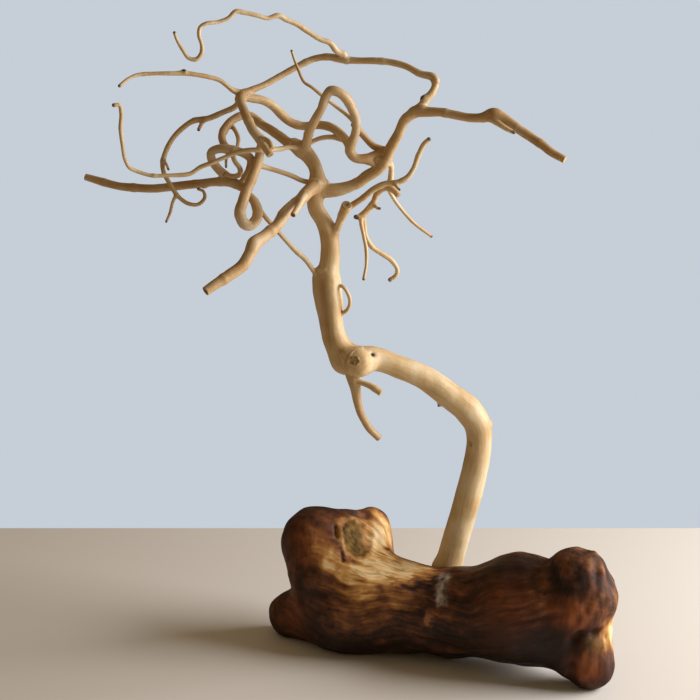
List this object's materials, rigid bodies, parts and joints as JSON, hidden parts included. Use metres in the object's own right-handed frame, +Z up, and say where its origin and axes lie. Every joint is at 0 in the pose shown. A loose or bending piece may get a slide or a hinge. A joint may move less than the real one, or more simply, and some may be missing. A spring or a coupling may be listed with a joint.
{
  "type": "tabletop branch tree",
  "caption": "Crooked peeled corkscrew branch with a tangled, one-sided crown, standing like a small bare tree in a lump of polished root wood that rests on a table.",
  "frame": {"origin": "middle of the whole piece in plan, on the table", "axes": "+Z up, +X along the width with the trunk foot on the right, +Y towards the back"},
  "size_m": [0.4344, 0.173, 0.5391],
  "materials": {
    "peeled_hazel": "satin",
    "root_wood": "oiled, semi-gloss",
    "zinc_steel": "zinc plated"
  },
  "bodies": {
    "root": {"base_root": "root_wood", "trunk_lower": "peeled_hazel", "trunk_upper": "peeled_hazel", "arch_limb": "peeled_hazel", "back_limb": "peeled_hazel", "brace_twig": "peeled_hazel", "c_limb": "peeled_hazel", "c_limb_spur": "peeled_hazel", "c_limb_twig": "peeled_hazel", "cluster_limb": "peeled_hazel", "cluster_stem": "peeled_hazel", "cluster_stub": "peeled_hazel", "cluster_thin_twig": "peeled_hazel", "cluster_twig_left": "peeled_hazel", "cluster_twig_right": "peeled_hazel", "curl_ring": "peeled_hazel", "drooping_limb": "peeled_hazel", "drooping_limb_stub": "peeled_hazel", "elbow_side_stub": "peeled_hazel", "elbow_twig": "peeled_hazel", "far_left_twig": "peeled_hazel", "forward_limb_stub": "peeled_hazel", "hairpin_limb": "peeled_hazel", "hairpin_tie": "peeled_hazel", "hooked_whip": "peeled_hazel", "left_forward_limb": "peeled_hazel", "left_spear": "peeled_hazel", "left_whip": "peeled_hazel", "light_limb": "peeled_hazel", "loop_limb": "peeled_hazel", "loop_rear_limb": "peeled_hazel", "loop_tie": "peeled_hazel", "reaching_limb": "peeled_hazel", "reaching_limb_spur": "peeled_hazel", "rear_limb": "peeled_hazel", "right_main_limb": "peeled_hazel", "ring_arc_twig": "peeled_hazel", "ring_inner_curl": "peeled_hazel", "thin_limb": "peeled_hazel", "top_riser": "peeled_hazel", "trunk_handle_twig": "peeled_hazel", "trunk_right_stub": "peeled_hazel", "trunk_top": "peeled_hazel", "upright_whip": "peeled_hazel", "fixing_screw": "zinc_steel"}
  },
  "joints": []
}
